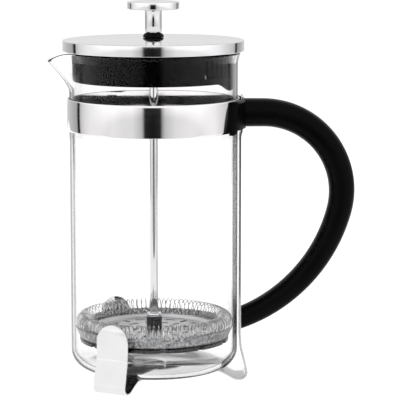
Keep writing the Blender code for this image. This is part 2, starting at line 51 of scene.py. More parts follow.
def disc(node):
    """Radius, lowest and highest height of a round CAD node."""
    low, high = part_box(node)
    return (high.x - low.x) / 2, low.z, high.z


def middle_x(node):
    low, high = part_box(node)
    return (low.x + high.x) / 2


def middle_z(box):
    return (box[0].z + box[1].z) / 2


AXIS_X = middle_x("plunger_rod")

BAND_OUT, BAND_LOW, BAND_TOP = disc("top_band")
LID_R, LID_LOW, LID_CROWN = disc("lid_cover")
LINER_FLANGE_R, LINER_TIP, _ = disc("lid_liner")
BUSH_R, BUSH_LOW, BUSH_TOP = disc("lid_bush")
ROD_R, ROD_LOW, ROD_TOP = disc("plunger_rod")
STEM_R, STEM_LOW, STEM_TOP = disc("knob_stem")
KNOB_R, KNOB_LOW, KNOB_TOP = disc("knob")
_, COIL_LOW, COIL_TOP = disc("filter_spring")
PLATE_R, PLATE_LOW, PLATE_RIM_TOP = disc("perforated_plate")
MESH_R, MESH_LOW, MESH_TOP = disc("mesh_screen")
CROSS_R, CROSS_LOW, CROSS_TOP = disc("bottom_plate")
SPACER_R, SPACER_LOW, SPACER_TOP = disc("hub_spacer")
CAP_R, CAP_LOW, CAP_TOP = disc("hub_nut")
GLASS_LOW, GLASS_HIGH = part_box("glass_beaker")
STRAP_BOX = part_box("handle_strap")
HANDLE_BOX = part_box("handle")

# Beaker
GLASS_R = BAND_OUT - 1.25 * MM
GLASS_WALL = 1.7 * MM
GLASS_BOTTOM = GLASS_LOW.z
GLASS_FLOOR = GLASS_BOTTOM + 2.5 * MM
GLASS_CORNER = 11.0 * MM
RIM_Z = GLASS_HIGH.z
RIM_R = GLASS_R + 1.8 * MM
FLARE_START = RIM_Z - 6.8 * MM
SPOUT_START = RIM_Z - 22.4 * MM
SPOUT_DROP = 5.2 * MM
SPOUT_REACH = AXIS_X - GLASS_LOW.x - GLASS_R
SPOUT_HALF_ANGLE = radians(31)
SPOUT_SHARPNESS = 1.25
SPOUT_CURVE = 1.3
SPOUT_DROP_CURVE = 1.9
FLARE_CURVE = 1.6
PUNT_R = 34.0 * MM
PUNT_RISE = 3.0 * MM
WALL_ROWS = [40 * MM, 70 * MM, 100 * MM, 130 * MM, 155 * MM]
SPOUT_ROWS = 26
CORNER_STEPS = 16
ROUND_STEPS = 240

# Band
BAND_CROWN = 0.25 * MM
BAND_SHEET = 0.9 * MM
BAND_ROWS = 14

# Steel strip
STRIP_T = 1.2 * MM
STRIP_EDGE_R = 0.3 * MM
STRIP_HALF = STRAP_BOX[1].y
STRAP_R = BAND_OUT
STRAP_BAND_R = BAND_OUT + GAP + STRIP_T / 2
STRAP_TOP = STRAP_BOX[1].z
TAB_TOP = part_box("front_left_leg")[1].z
ARM_Z = 5.7 * MM
ARM_END_R = 7.0 * MM
FOOT_R = 50.0 * MM
FOOT_BEND = 3.8 * MM
LEG_POINTS = [(STRAP_R, 27.2 * MM), (50.3 * MM, 19.2 * MM), (51.9 * MM, 12.8 * MM)]
ARM_POINTS = [(41 * MM, 4.2 * MM), (37.5 * MM, ARM_Z), (ARM_END_R, ARM_Z)]
LEG_CURVE_R = 14 * MM
ARM_CURVE_R = 4 * MM
TAB_STEPS = 12

# Handle
TOP_ARC_X = 63.1 * MM
TOP_ARC_Z = 109.9 * MM
TOP_ARC_R = 45.6 * MM
LOW_ARC_R = 93.2 * MM
ARC_JOIN = radians(-15)
HANDLE_X = STRAP_BAND_R + STRIP_T / 2 + GAP
GRIP_TOP = 16.2 * MM
GRIP_LOSS = 4.1 * MM
GRIP_LOSS_CURVE = 1.3
GRIP_SQUARENESS = 2.5
GRIP_SECTION_STEPS = 48
GRIP_END_X = 44 * MM
HANDLE_WIDE = 18.5 * MM
HANDLE_WIDE_LOSS = 3.5 * MM
SADDLE_IN = BAND_OUT + 0.05 * MM
SADDLE_OUT = 53.2 * MM
SADDLE_TOP = HANDLE_BOX[1].z
SADDLE_LOW = BAND_LOW - 0.9 * MM
SADDLE_EDGE_R = 0.9 * MM
SADDLE_ROWS = 16
SADDLE_STEPS = 48
SADDLE_NOTCH_HALF = 23 * MM
SADDLE_NOTCH_TOP = BAND_LOW + 1.7 * MM
SADDLE_ANGLE_LOW = radians(30)
SADDLE_ANGLE_TOP = radians(26)
UPPER_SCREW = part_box("upper_handle_screw")
LOWER_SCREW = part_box("lower_handle_screw")
SCREW_BORE = 1.95 * MM
SCREW_HOLES = ((UPPER_SCREW, 66.5 * MM), (LOWER_SCREW, 60.8 * MM))

# Lid
LID_DOME = 1.3 * MM
LID_EDGE_Z = LID_CROWN - LID_DOME + 0.01 * MM
LID_SHEET = 0.8 * MM
BUSH_HOLE_R = 4.9 * MM
LINER_R = 45.7 * MM
LINER_WALL = 2.0 * MM
TONGUE_DROP = 4.7 * MM
TONGUE_START = 179.2 * MM
LINER_LOW = LINER_TIP + TONGUE_DROP
LINER_FLANGE_LOW = RIM_Z + 0.4 * MM
LINER_ROOF = 1.9 * MM
TONGUE_HALF_ANGLE = radians(38)
TONGUE_EASE = radians(23)
SLOT_HALF = 1.0 * MM
SLOT_LOW, SLOT_TOP = 177.4 * MM, 187.8 * MM
SLOT_TURNS = [-48.5 + 5.2 * i for i in range(6)]

# Knob
KNOB_SOCKET = 2.8 * MM

# Filter
WIRE_R = 0.28 * MM
COIL_TURNS = 96
COIL_RING_R = 41.4 * MM
COIL_R = (COIL_TOP - COIL_LOW) / 2 - WIRE_R - 0.02 * MM
COIL_Z = (COIL_TOP + COIL_LOW) / 2
COIL_TURN_STEPS = 14
PLATE_SHEET = 0.9 * MM
PLATE_BEAD = 0.9 * MM
PLATE_OPENINGS = ((11.5 * MM, 8), (20 * MM, 14), (29 * MM, 20))
OPENING_LONG, OPENING_SHORT = 6.4 * MM, 2.4 * MM
MESH_SHEET = 0.35 * MM
MESH_FLAT_R = 43.0 * MM
NOTCH_DEPTH, NOTCH_HALF, NOTCH_COUNT = 1.6 * MM, 1.8 * MM, 12
WINDOW_IN, WINDOW_OUT, WINDOW_HALF, WINDOW_COUNT = 14 * MM, 34 * MM, 4 * MM, 6


# ---------------------------------------------------------------- materials

STEEL_GRAIN = 900.0
GLASS_IOR = 1.25
# Heights over which painted shade greys the glass towards its foot.
FOOT_SHADE_TOP = GLASS_BOTTOM + 20 * MM
FOOT_SHADE_FULL = GLASS_BOTTOM + 4 * MM
PLASTIC_IOR = 1.2
WEAVE_SCALE = 260.0  # wires about 1.2 mm apart
WIRE_SHARE = 0.42


def new_material(name, colour, roughness, metallic=0.0):
    mat = bpy.data.materials.new(name)
    mat.use_nodes = True
    shader = mat.node_tree.nodes["Principled BSDF"]
    shader.inputs["Base Color"].default_value = (*colour, 1.0)
    shader.inputs["Roughness"].default_value = roughness
    shader.inputs["Metallic"].default_value = metallic
    return mat, mat.node_tree.nodes, mat.node_tree.links, shader


def stretched_noise(nodes, links, scale, stretch, detail=4.0):
    """Noise in object space, drawn out along an axis where its stretch is small."""
    place = nodes.new("ShaderNodeTexCoord")
    mapping = nodes.new("ShaderNodeMapping")
    mapping.inputs["Scale"].default_value = stretch
    noise = nodes.new("ShaderNodeTexNoise")
    noise.inputs["Scale"].default_value = scale
    noise.inputs["Detail"].default_value = detail
    links.new(place.outputs["Object"], mapping.inputs["Vector"])
    links.new(mapping.outputs["Vector"], noise.inputs["Vector"])
    return noise.outputs["Fac"]


def spread(nodes, links, source, low, high):
    """Maps noise between two values."""
    span = nodes.new("ShaderNodeMapRange")
    span.inputs["From Min"].default_value = 0.3
    span.inputs["From Max"].default_value = 0.7
    span.inputs["To Min"].default_value = low
    span.inputs["To Max"].default_value = high
    links.new(source, span.inputs["Value"])
    return span.outputs["Result"]


def bump(nodes, links, shader, height, strength, distance):
    node = nodes.new("ShaderNodeBump")
    node.inputs["Strength"].default_value = strength
    node.inputs["Distance"].default_value = distance
    links.new(height, node.inputs["Height"])
    links.new(node.outputs["Normal"], shader.inputs["Normal"])


def two_tone(nodes, links, source, dark, light):
    ramp = nodes.new("ShaderNodeValToRGB")
    ramp.color_ramp.elements[0].position = 0.3
    ramp.color_ramp.elements[1].position = 0.7
    ramp.color_ramp.elements[0].color = (*dark, 1.0)
    ramp.color_ramp.elements[1].color = (*light, 1.0)
    links.new(source, ramp.inputs["Fac"])
    return ramp.outputs["Color"]


def tint(nodes, links, shader, source, dark, light):
    links.new(two_tone(nodes, links, source, dark, light), shader.inputs["Base Color"])


def math_node(nodes, links, operation, first, second=None):
    node = nodes.new("ShaderNodeMath")
    node.operation = operation
    for socket, value in zip(node.inputs, (first, second)):
        if value is None:
            continue
        if isinstance(value, (int, float)):
            socket.default_value = value
        else:
            links.new(value, socket)
    return node.outputs["Value"]


def steel(name, dark, light, rough_low, rough_high, stretch, cloud_scale=60.0):
    """Polished or satin steel with drawn-out grain and a soft cloudiness in its colour."""
    mat, nodes, links, shader = new_material(name, light, rough_low, 1.0)
    fine = stretched_noise(nodes, links, STEEL_GRAIN, stretch)
    cloud = stretched_noise(nodes, links, cloud_scale, (1, 1, 1), 2.0)
    links.new(spread(nodes, links, fine, rough_low, rough_high), shader.inputs["Roughness"])
    tint(nodes, links, shader, cloud, dark, light)
    bump(nodes, links, shader, fine, 0.02, 0.1 * MM)
    return mat


def plastic(name, dark, light, rough_low, rough_high, grain, depth, gloss):
    """Moulded plastic with a fine spark-eroded grain."""
    mat, nodes, links, shader = new_material(name, light, rough_low)
    fine = stretched_noise(nodes, links, grain, (1, 1, 1), 3.0)
    cloud = stretched_noise(nodes, links, 45.0, (1, 1, 1), 3.0)
    links.new(spread(nodes, links, cloud, rough_low, rough_high), shader.inputs["Roughness"])
    shader.inputs["IOR"].default_value = PLASTIC_IOR
    shader.inputs["Specular IOR Level"].default_value = gloss
    tint(nodes, links, shader, cloud, dark, light)
    bump(nodes, links, shader, fine, depth, 0.2 * MM)
    return mat


def clear_glass():
    """Clear glass, with painted shade making it near black where it is seen edge on, and painted
    shade and painted dark reflections greying and streaking its foot.
    """
    mat, nodes, links, shader = new_material("clear_glass", (1.0, 1.0, 1.0), 0.0)
    shader.inputs["Transmission Weight"].default_value = 1.0
    shader.inputs["IOR"].default_value = GLASS_IOR
    shader.inputs["Specular Tint"].default_value = (0.4, 0.4, 0.4, 1.0)
    wave = stretched_noise(nodes, links, 28.0, (1, 1, 0.3), 1.0)
    bump(nodes, links, shader, wave, 0.02, 0.4 * MM)
    # Painted shade: the base colour turns near black where the glass is seen edge on, standing in
    # for dark surroundings refracted at its outlines.
    edge = nodes.new("ShaderNodeLayerWeight")
    edge.inputs["Blend"].default_value = 0.5
    shade = nodes.new("ShaderNodeValToRGB")
    links.new(edge.outputs["Facing"], shade.inputs["Fac"])
    shade.color_ramp.elements[0].position = 0.71
    shade.color_ramp.elements[0].color = (1.0, 1.0, 1.0, 1.0)
    shade.color_ramp.elements[1].position = 0.81
    shade.color_ramp.elements[1].color = (0.015, 0.015, 0.016, 1.0)
    # Painted shade and painted reflection: the base colour greys towards the foot, with noise
    # streaks standing in for dark reflections of the hub and legs.
    place = nodes.new("ShaderNodeTexCoord")
    split = nodes.new("ShaderNodeSeparateXYZ")
    links.new(place.outputs["Object"], split.inputs["Vector"])
    thick = nodes.new("ShaderNodeMapRange")
    thick.inputs["From Min"].default_value = FOOT_SHADE_TOP
    thick.inputs["From Max"].default_value = FOOT_SHADE_FULL
    links.new(split.outputs["Z"], thick.inputs["Value"])
    reflection_streak = stretched_noise(nodes, links, 30.0, (1, 1, 3), 2.0)
    reflection_streak = spread(nodes, links, reflection_streak, 0.05, 0.22)
    foot_shade = math_node(nodes, links, "MULTIPLY", thick.outputs["Result"], reflection_streak)
    keep = math_node(nodes, links, "SUBTRACT", 1.0, foot_shade)
    darker = nodes.new("ShaderNodeVectorMath")
    darker.operation = "SCALE"
    links.new(shade.outputs["Color"], darker.inputs[0])
    links.new(keep, darker.inputs["Scale"])
    links.new(darker.outputs["Vector"], shader.inputs["Base Color"])
    smear = stretched_noise(nodes, links, 40.0, (1, 1, 0.5), 3.0)
    links.new(spread(nodes, links, smear, 0.0, 0.012), shader.inputs["Roughness"])
    return mat


def woven_wire():
    """Fine woven steel wire with holes between its wires, and painted shade darkening the flat
    part below.
    """
    mat, nodes, links, shader = new_material("woven_wire", (0.6, 0.6, 0.62), 0.3, 1.0)
    place = nodes.new("ShaderNodeTexCoord")
    heights = []
    for direction in ("X", "Y"):
        wave = nodes.new("ShaderNodeTexWave")
        wave.bands_direction = direction
        wave.inputs["Scale"].default_value = WEAVE_SCALE
        wave.inputs["Distortion"].default_value = 0.4
        links.new(place.outputs["Object"], wave.inputs["Vector"])
        heights.append(wave.outputs["Fac"])
    top = math_node(nodes, links, "MAXIMUM", heights[0], heights[1])
    bump(nodes, links, shader, top, 0.8, 0.2 * MM)
    wire = math_node(nodes, links, "GREATER_THAN", top, WIRE_SHARE)
    links.new(wire, shader.inputs["Alpha"])
    cloud = stretched_noise(nodes, links, 700.0, (1, 1, 1), 3.0)
    mottle = two_tone(nodes, links, cloud, (0.08, 0.08, 0.085), (0.62, 0.62, 0.63))
    # Painted shade: the colour falls to a tenth on the flat part, which lies in shade between the
    # plates.
    split = nodes.new("ShaderNodeSeparateXYZ")
    links.new(place.outputs["Object"], split.inputs["Vector"])
    shade = nodes.new("ShaderNodeMapRange")
    shade.inputs["From Min"].default_value = MESH_LOW + 0.4 * MM
    shade.inputs["From Max"].default_value = MESH_LOW + 1.2 * MM
    shade.inputs["To Min"].default_value = 0.1
    links.new(split.outputs["Z"], shade.inputs["Value"])
    shaded = nodes.new("ShaderNodeVectorMath")
    shaded.operation = "SCALE"
    links.new(mottle, shaded.inputs[0])
    links.new(shade.outputs["Result"], shaded.inputs["Scale"])
    links.new(shaded.outputs["Vector"], shader.inputs["Base Color"])
    return mat


# How the grain is drawn out
EVEN = (1, 1, 1)
ALONG_Z = (1, 1, 0.05)
ROUND_Z = (0.08, 0.08, 1)
GLASS = clear_glass()
LID_STEEL = steel("lid_steel", (0.81, 0.81, 0.82), (0.85, 0.85, 0.86), 0.05, 0.09, EVEN)
BAND_STEEL = steel("band_steel", (0.81, 0.795, 0.80), (0.85, 0.835, 0.84), 0.04, 0.09, ROUND_Z)
STRIP_STEEL = steel("strip_steel", (0.70, 0.69, 0.70), (0.75, 0.74, 0.745), 0.06, 0.12, ALONG_Z)
# Painted shade: the handle strap is the same strip steel, darkened because it lies in the
# handle's shade and mirrors the black handle.
SHADED_STRAP_STEEL = steel("shaded_strap_steel", (0.42, 0.42, 0.425), (0.54, 0.54, 0.545), 0.06, 0.14, ALONG_Z)
ROD_STEEL = steel("rod_steel", (0.66, 0.66, 0.67), (0.72, 0.72, 0.73), 0.03, 0.08, ALONG_Z)
WIRE_STEEL = steel("wire_steel", (0.3, 0.3, 0.305), (0.92, 0.92, 0.92), 0.08, 0.2, EVEN, 260.0)
PLATE_STEEL = steel("plate_steel", (0.74, 0.74, 0.75), (0.88, 0.88, 0.89), 0.42, 0.55, EVEN)
# Painted shade and painted reflection: near black steel for the cross plate, which lies in shade
# under the mesh, and for the spacer nut, whose chrome side mirrors dark surroundings.
SHADE_DARK_STEEL = steel("dark_steel", (0.03, 0.03, 0.03), (0.08, 0.08, 0.085), 0.2, 0.4, EVEN)
WOVEN = woven_wire()
HANDLE_BLACK = plastic("handle_black", (0.0008,) * 3, (0.0016,) * 3, 0.3, 0.38, 2500, 0.12, 0.24)
LINER_BLACK = plastic("liner_black", (0.001,) * 3, (0.002,) * 3, 0.2, 0.28, 1800, 0.08, 0.3)
# Painted shade: a darker, matte copy of the liner plastic for the slot walls, standing in for the
# shade inside the slots.
SLOT_SHADE_BLACK = plastic("slot_shade_black", (0.0002,) * 3, (0.0005,) * 3, 0.6, 0.7, 1800, 0.05, 0.0)


# ---------------------------------------------------------------- mesh helpers

def finish_mesh(name, bm, mat, body, nodes=(), angle=35):
    bmesh.ops.remove_doubles(bm, verts=bm.verts, dist=0.000001)
    bmesh.ops.recalc_face_normals(bm, faces=bm.faces)
    mesh = bpy.data.meshes.new(name)
    bm.to_mesh(mesh)
    bm.free()
    mesh.shade_smooth()
    mesh.set_sharp_from_angle(angle=radians(angle))
    mesh.materials.append(mat)
    obj = bpy.data.objects.new(name, mesh)
    bpy.context.scene.collection.objects.link(obj)
    obj.location.x = AXIS_X
    if body:
        settle(obj, body, nodes)
    return obj


def settle(obj, body, nodes=()):
    """Ties a piece to its body and hides the CAD nodes it stands for."""
    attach(obj, body)
    if nodes:
        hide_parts(*nodes)


def fillet(points, radius, steps=3, closed=True):
    """Rounds the corners of a polyline; each radius is kept inside its two sides."""
    count = len(points)
    result = []
    for i, point in enumerate(points):
        if not closed and i in (0, count - 1):
            result.append(point)
            continue
        here = Vector(point)
        back, ahead = Vector(points[i - 1]) - here, Vector(points[(i + 1) % count]) - here
        if back.length < 1e-9 or ahead.length < 1e-9:
            continue
        turn = acos(max(-1.0, min(1.0, back.normalized().dot(ahead.normalized()))))
        if turn > radians(176) or radius <= 0:
            result.append(point)
            continue
        reach = min(radius / tan(turn / 2), 0.45 * back.length, 0.45 * ahead.length)
        start, end = here + back.normalized() * reach, here + ahead.normalized() * reach
        for k in range(steps + 1):
            t = k / steps
            spot = start * (1 - t) ** 2 + here * 2 * t * (1 - t) + end * t * t
            result.append(tuple(spot))
    return result


def arc(centre_x, centre_z, radius, start, end, count):
    points = []
    for i in range(count + 1):
        angle = radians(start + (end - start) * i / count)
        points.append((centre_x + radius * cos(angle), centre_z + radius * sin(angle)))
    return points


def round_angles():
    return [2 * pi * i / ROUND_STEPS for i in range(ROUND_STEPS)]


def loft(rings, closed_rows=False):
    """Skins equal rings of points and returns the bmesh; its ends are capped or joined."""
    bm = bmesh.new()
    rows = [[bm.verts.new(p) for p in ring] for ring in rings]
    pairs = list(zip(rows, rows[1:]))
    if closed_rows:
        pairs.append((rows[-1], rows[0]))
    for here, there in pairs:
        for i in range(len(here)):
            j = (i + 1) % len(here)
            bm.faces.new((here[i], here[j], there[j], there[i]))
    if not closed_rows:
        bm.faces.new(rows[0])
        bm.faces.new(rows[-1])
    return bm


def revolve(profile, steps=128, closed=True):
    """Turns (radius, height) points about the axis; points on the axis become one vertex."""
    bm = bmesh.new()
    rows = []
    for r, z in profile:
        if r < 1e-7:
            rows.append([bm.verts.new((0, 0, z))])
            continue
        turn = [2 * pi * i / steps for i in range(steps)]
        rows.append([bm.verts.new((r * cos(a), r * sin(a), z)) for a in turn])
    pairs = list(zip(rows, rows[1:]))
    if closed:
        pairs.append((rows[-1], rows[0]))
    for here, there in pairs:
        for i in range(steps):
            j = (i + 1) % steps
            if len(here) == 1 and len(there) == 1:
                continue
            if len(here) == 1:
                bm.faces.new((here[0], there[j], there[i]))
            elif len(there) == 1:
                bm.faces.new((here[i], here[j], there[0]))
            else:
                bm.faces.new((here[i], here[j], there[j], there[i]))
    return bm


def boolean(obj, other, operation, use_tool_material=False):
    """Applies one Boolean and removes the tool."""
    modifier = obj.modifiers.new("Boolean", "BOOLEAN")
    modifier.operation = operation
    modifier.solver = "EXACT"
    if use_tool_material:
        modifier.material_mode = "TRANSFER"
    modifier.object = other
    bpy.context.view_layer.update()
    graph = bpy.context.evaluated_depsgraph_get()
    mesh = bpy.data.meshes.new_from_object(obj.evaluated_get(graph))
    obj.modifiers.clear()
    obj.data = mesh
    bpy.data.objects.remove(other, do_unlink=True)


def smooth_by_angle(obj, angle=35):
    obj.data.shade_smooth()
    obj.data.set_sharp_from_angle(angle=radians(angle))


def box_tool(low, high, turns=(0.0,), mat=GLASS):
    bm = bmesh.new()
    size = Vector(high) - Vector(low)
    centre = (Vector(high) + Vector(low)) / 2
    for turn in turns:
        place = Matrix.Rotation(radians(turn), 4, "Z") @ Matrix.Translation(centre)
        place = place @ Matrix.Diagonal((*size, 1.0))
        bmesh.ops.create_cube(bm, size=1.0, matrix=place)
    return finish_mesh("tool", bm, mat, None)


def bar_tool(radius, start, end):
    bm = bmesh.new()
    start, end = Vector(start), Vector(end)
    along = end - start
    turn = along.to_track_quat("Z", "Y").to_matrix().to_4x4()
    place = Matrix.Translation((start + end) / 2) @ turn
    bmesh.ops.create_cone(
        bm,
        cap_ends=True,
        segments=32,
        radius1=radius,
        radius2=radius,
        depth=along.length,
        matrix=place,
    )
    return finish_mesh("tool", bm, GLASS, None)


# ---------------------------------------------------------------- beaker

def spout_weight(angle):
    off = abs(angle - pi)
    if off >= SPOUT_HALF_ANGLE:
        return 0.0
    return (0.5 + 0.5 * cos(pi * off / SPOUT_HALF_ANGLE)) ** SPOUT_SHARPNESS


def wall_point(radius, z, angle):
    share = max(0.0, (z - SPOUT_START) / (RIM_Z - SPOUT_START))
    open_share = max(0.0, (z - FLARE_START) / (RIM_Z - FLARE_START))
    flare = (RIM_R - GLASS_R) * open_share**FLARE_CURVE
    weight = spout_weight(angle)
    reach = flare + weight * (SPOUT_REACH * share**SPOUT_CURVE - flare)
    height = z - weight**SPOUT_DROP_CURVE * share * SPOUT_DROP
    return ((radius + reach) * cos(angle), (radius + reach) * sin(angle), height)


def punt(radius, z):
    """Height that the middle of the beaker's bottom is pushed up."""
    if z > GLASS_FLOOR + MM or radius > PUNT_R:
        return 0.0
    return PUNT_RISE * (0.5 + 0.5 * cos(pi * radius / PUNT_R))


def make_beaker():
    inner_r = GLASS_R - GLASS_WALL
    corner_x = GLASS_R - GLASS_CORNER
    rise = [SPOUT_START + (RIM_Z - SPOUT_START) * i / SPOUT_ROWS for i in range(SPOUT_ROWS)]
    flat = [0.5 * MM] + [(3 + 2.5 * i) * MM for i in range(13)]
    outer = [(r, GLASS_BOTTOM) for r in flat]
    outer += arc(corner_x, GLASS_BOTTOM + GLASS_CORNER, GLASS_CORNER, -90, 0, CORNER_STEPS)
    outer += [(GLASS_R, z) for z in WALL_ROWS + rise]
    lip = GLASS_WALL / 2
    rim = arc(GLASS_R - lip, RIM_Z - lip, lip, 0, 180, 8)
    inner_corner = GLASS_CORNER - GLASS_WALL
    floor_x = inner_r - inner_corner
    inner = [(inner_r, z) for z in reversed(WALL_ROWS + rise)]
    inner += arc(floor_x, GLASS_FLOOR + inner_corner, inner_corner, 0, -90, CORNER_STEPS)
    inner += [(r, GLASS_FLOOR) for r in reversed(flat)]
    profile = [(r, z + punt(r, z)) for r, z in outer + rim + inner]
    bm = loft([[wall_point(r, z, a) for a in round_angles()] for r, z in profile])
    return finish_mesh("beaker_wall", bm, GLASS, "beaker", ["glass_beaker"], 60)


# ---------------------------------------------------------------- frame

def make_band():
    inside = BAND_OUT - BAND_SHEET
    side = []
    for i in range(BAND_ROWS + 1):
        t = i / BAND_ROWS
        z = BAND_TOP + (BAND_LOW - BAND_TOP) * t
        side.append((BAND_OUT - BAND_CROWN * (2 * t - 1) ** 2, z))
    profile = fillet([(inside, BAND_TOP)] + side + [(inside, BAND_LOW)], 0.25 * MM)
    bm = revolve(profile, 200)
    finish_mesh("clamp_band", bm, BAND_STEEL, "frame", ["top_band"], 40)


def foot_path():
    """The strip's middle line: the bend round the foot, then the flat and the arm."""
    bend_z = STRIP_T / 2 + FOOT_BEND
    bend = arc(FOOT_R, bend_z, FOOT_BEND, 12, -90, 14)
    flat = [(FOOT_R - 2.4 * MM, STRIP_T / 2), (FOOT_R - 4.6 * MM, 1.6 * MM)]
    return bend, flat + ARM_POINTS


def smooth_path(top):
    bend, rest = foot_path()
    start = fillet(top + LEG_POINTS + [bend[0]], LEG_CURVE_R, 6, closed=False)
    end = fillet([bend[-1]] + rest, ARM_CURVE_R, 5, closed=False)
    return start[:-1] + bend + end[1:]


def strip_rings(path, half_of, turn):
    rings = []
    spin = Matrix.Rotation(radians(turn), 3, "Z")
    for i, (x, z) in enumerate(path):
        before, after = path[max(i - 1, 0)], path[min(i + 1, len(path) - 1)]
        dx, dz = after[0] - before[0], after[1] - before[1]
        length = hypot(dx, dz)
        nx, nz = -dz / length, dx / length
        half = half_of(x, z)
        t = STRIP_T / 2
        corners = [(-half, t), (half, t), (half, -t), (-half, -t)]
        section = fillet(corners, min(STRIP_EDGE_R, half * 0.4), 3)
        rings.append([spin @ Vector((x + nx * v, u, z + nz * v)) for u, v in section])
    return rings


def make_strap():
    top = [(STRAP_BAND_R + 0.3 * MM, STRAP_TOP), (STRAP_BAND_R, STRAP_TOP - 2 * MM)]
    top += [(STRAP_BAND_R, BAND_LOW + 0.2 * MM), (STRAP_R, BAND_LOW - 2.8 * MM)]
    top += [(STRAP_R, 100 * MM)]
    path = smooth_path(top)
    bm = loft(strip_rings(path, lambda x, z: STRIP_HALF, 0))
    # The strap takes the darkened steel: painted shade.
    strap = finish_mesh("handle_strip", bm, SHADED_STRAP_STEEL, None)
    for z in (middle_z(UPPER_SCREW), middle_z(LOWER_SCREW)):
        boolean(strap, bar_tool(SCREW_BORE, (47 * MM, 0, z), (54 * MM, 0, z)), "DIFFERENCE")
    smooth_by_angle(strap)
    settle(strap, "frame", ["handle_strap"])


def make_leg(name, node, turn):
    centre_z = TAB_TOP - STRIP_HALF
    top = []
    for i in range(TAB_STEPS + 1):
        angle = radians(86 - 86 * i / TAB_STEPS)
        top.append((STRAP_R, centre_z + STRIP_HALF * sin(angle)))
    bend, rest = foot_path()
    straight = fillet([top[-1]] + LEG_POINTS + [bend[0]], LEG_CURVE_R, 6, closed=False)
    end = fillet([bend[-1]] + rest, ARM_CURVE_R, 5, closed=False)
    path = top + straight[1:-1] + bend + end[1:]

    def half_of(x, z):
        if z <= centre_z:
            return STRIP_HALF
        rise = min(1.0, (z - centre_z) / STRIP_HALF)
        return max(STRIP_HALF * (1 - rise * rise) ** 0.5, 0.5 * MM)

    bm = loft(strip_rings(path, half_of, turn))
    finish_mesh(name, bm, STRIP_STEEL, "frame", [node], 50)


# ---------------------------------------------------------------- handle

def handle_line():
    """Middle line of the grip as (x, z, outward angle): straight, tight arc, wide arc."""
    top_z = TOP_ARC_Z + TOP_ARC_R
    points = [(HANDLE_X + (TOP_ARC_X - HANDLE_X) * i / 6, top_z, pi / 2) for i in range(6)]
    for i in range(61):
        angle = pi / 2 + (ARC_JOIN - pi / 2) * i / 60
        x, z = TOP_ARC_X + TOP_ARC_R * cos(angle), TOP_ARC_Z + TOP_ARC_R * sin(angle)
        points.append((x, z, angle))
    low_x = TOP_ARC_X + (TOP_ARC_R - LOW_ARC_R) * cos(ARC_JOIN)
    low_z = TOP_ARC_Z + (TOP_ARC_R - LOW_ARC_R) * sin(ARC_JOIN)
    last = -pi / 2 + asin((GRIP_END_X - low_x) / LOW_ARC_R)
    for i in range(1, 51):
        angle = ARC_JOIN + (last - ARC_JOIN) * i / 50
        points.append((low_x + LOW_ARC_R * cos(angle), low_z + LOW_ARC_R * sin(angle), angle))
    return points


def line_shares(points):
    run = [0.0]
    for here, there in zip(points, points[1:]):
        run.append(run[-1] + hypot(there[0] - here[0], there[1] - here[1]))
    return [value / run[-1] for value in run]


def squared_oval(thick, wide):
    points = []
    for i in range(GRIP_SECTION_STEPS):
        turn = 2 * pi * i / GRIP_SECTION_STEPS
        c, s = cos(turn), sin(turn)
        out = thick * abs(c) ** (2 / GRIP_SQUARENESS) * (1 if c >= 0 else -1)
        side = wide * abs(s) ** (2 / GRIP_SQUARENESS) * (1 if s >= 0 else -1)
        points.append((out, side))
    return points


def make_handle():
    points = handle_line()
    rings = []
    for (x, z, angle), share in zip(points, line_shares(points)):
        thick = (GRIP_TOP - GRIP_LOSS * share**GRIP_LOSS_CURVE) / 2
        wide = (HANDLE_WIDE - HANDLE_WIDE_LOSS * share) / 2
        ring = []
        for out, side in squared_oval(thick, wide):
            ring.append((x + out * cos(angle), side, z + out * sin(angle)))
        rings.append(ring)
    handle = finish_mesh("handle_grip", loft(rings), HANDLE_BLACK, None)
    low_end = STRAP_R + STRIP_T / 2 + GAP
    boolean(handle, box_tool((0.03, -0.02, 0.0), (low_end, 0.02, 0.08)), "DIFFERENCE")
    boolean(handle, make_saddle(), "UNION")
    recess = (0.03, -STRIP_HALF - GAP, 0.12), (HANDLE_X, STRIP_HALF + GAP, 0.2)
    boolean(handle, box_tool(*recess), "DIFFERENCE")
    half = SADDLE_NOTCH_HALF
    notch = (0.03, -half, 0.12), (SADDLE_OUT + 3 * MM, half, SADDLE_NOTCH_TOP)
    boolean(handle, box_tool(*notch), "DIFFERENCE")
    for screw, end in SCREW_HOLES:
        z = middle_z(screw)
        boolean(handle, bar_tool(SCREW_BORE, (45 * MM, 0, z), (end, 0, z)), "DIFFERENCE")
    smooth_by_angle(handle, 32)
    settle(handle, "frame", ["handle"])


def round_dip(off, radius):
    """How far a rounded edge lies below the face at a distance from the edge."""
    if off >= radius:
        return 0.0
    return radius - (radius**2 - (radius - off) ** 2) ** 0.5


def make_saddle():
    """The curved pad that grips the band, with rounded outer edges."""
    rings = []
    for i in range(SADDLE_ROWS + 1):
        share = i / SADDLE_ROWS
        z = SADDLE_LOW + (SADDLE_TOP - SADDLE_LOW) * share
        edge = SADDLE_ANGLE_LOW + (SADDLE_ANGLE_TOP - SADDLE_ANGLE_LOW) * share
        near_end = min(share, 1 - share) * (SADDLE_TOP - SADDLE_LOW)
        inset = round_dip(near_end, SADDLE_EDGE_R)
        outer = SADDLE_OUT - inset
        corner = max(0.1 * MM, SADDLE_EDGE_R - inset)
        section = []
        for k in range(SADDLE_STEPS + 1):
            a = -edge + 2 * edge * k / SADDLE_STEPS
            dip = round_dip(max(0.0, (edge - abs(a)) * outer), corner)
            section.append(((outer - dip) * cos(a), (outer - dip) * sin(a), z))
        for k in range(SADDLE_STEPS + 1):
            a = edge - 2 * edge * k / SADDLE_STEPS
            section.append((SADDLE_IN * cos(a), SADDLE_IN * sin(a), z))
        rings.append(section)
    return finish_mesh("tool", loft(rings), HANDLE_BLACK, None)


# ---------------------------------------------------------------- lid

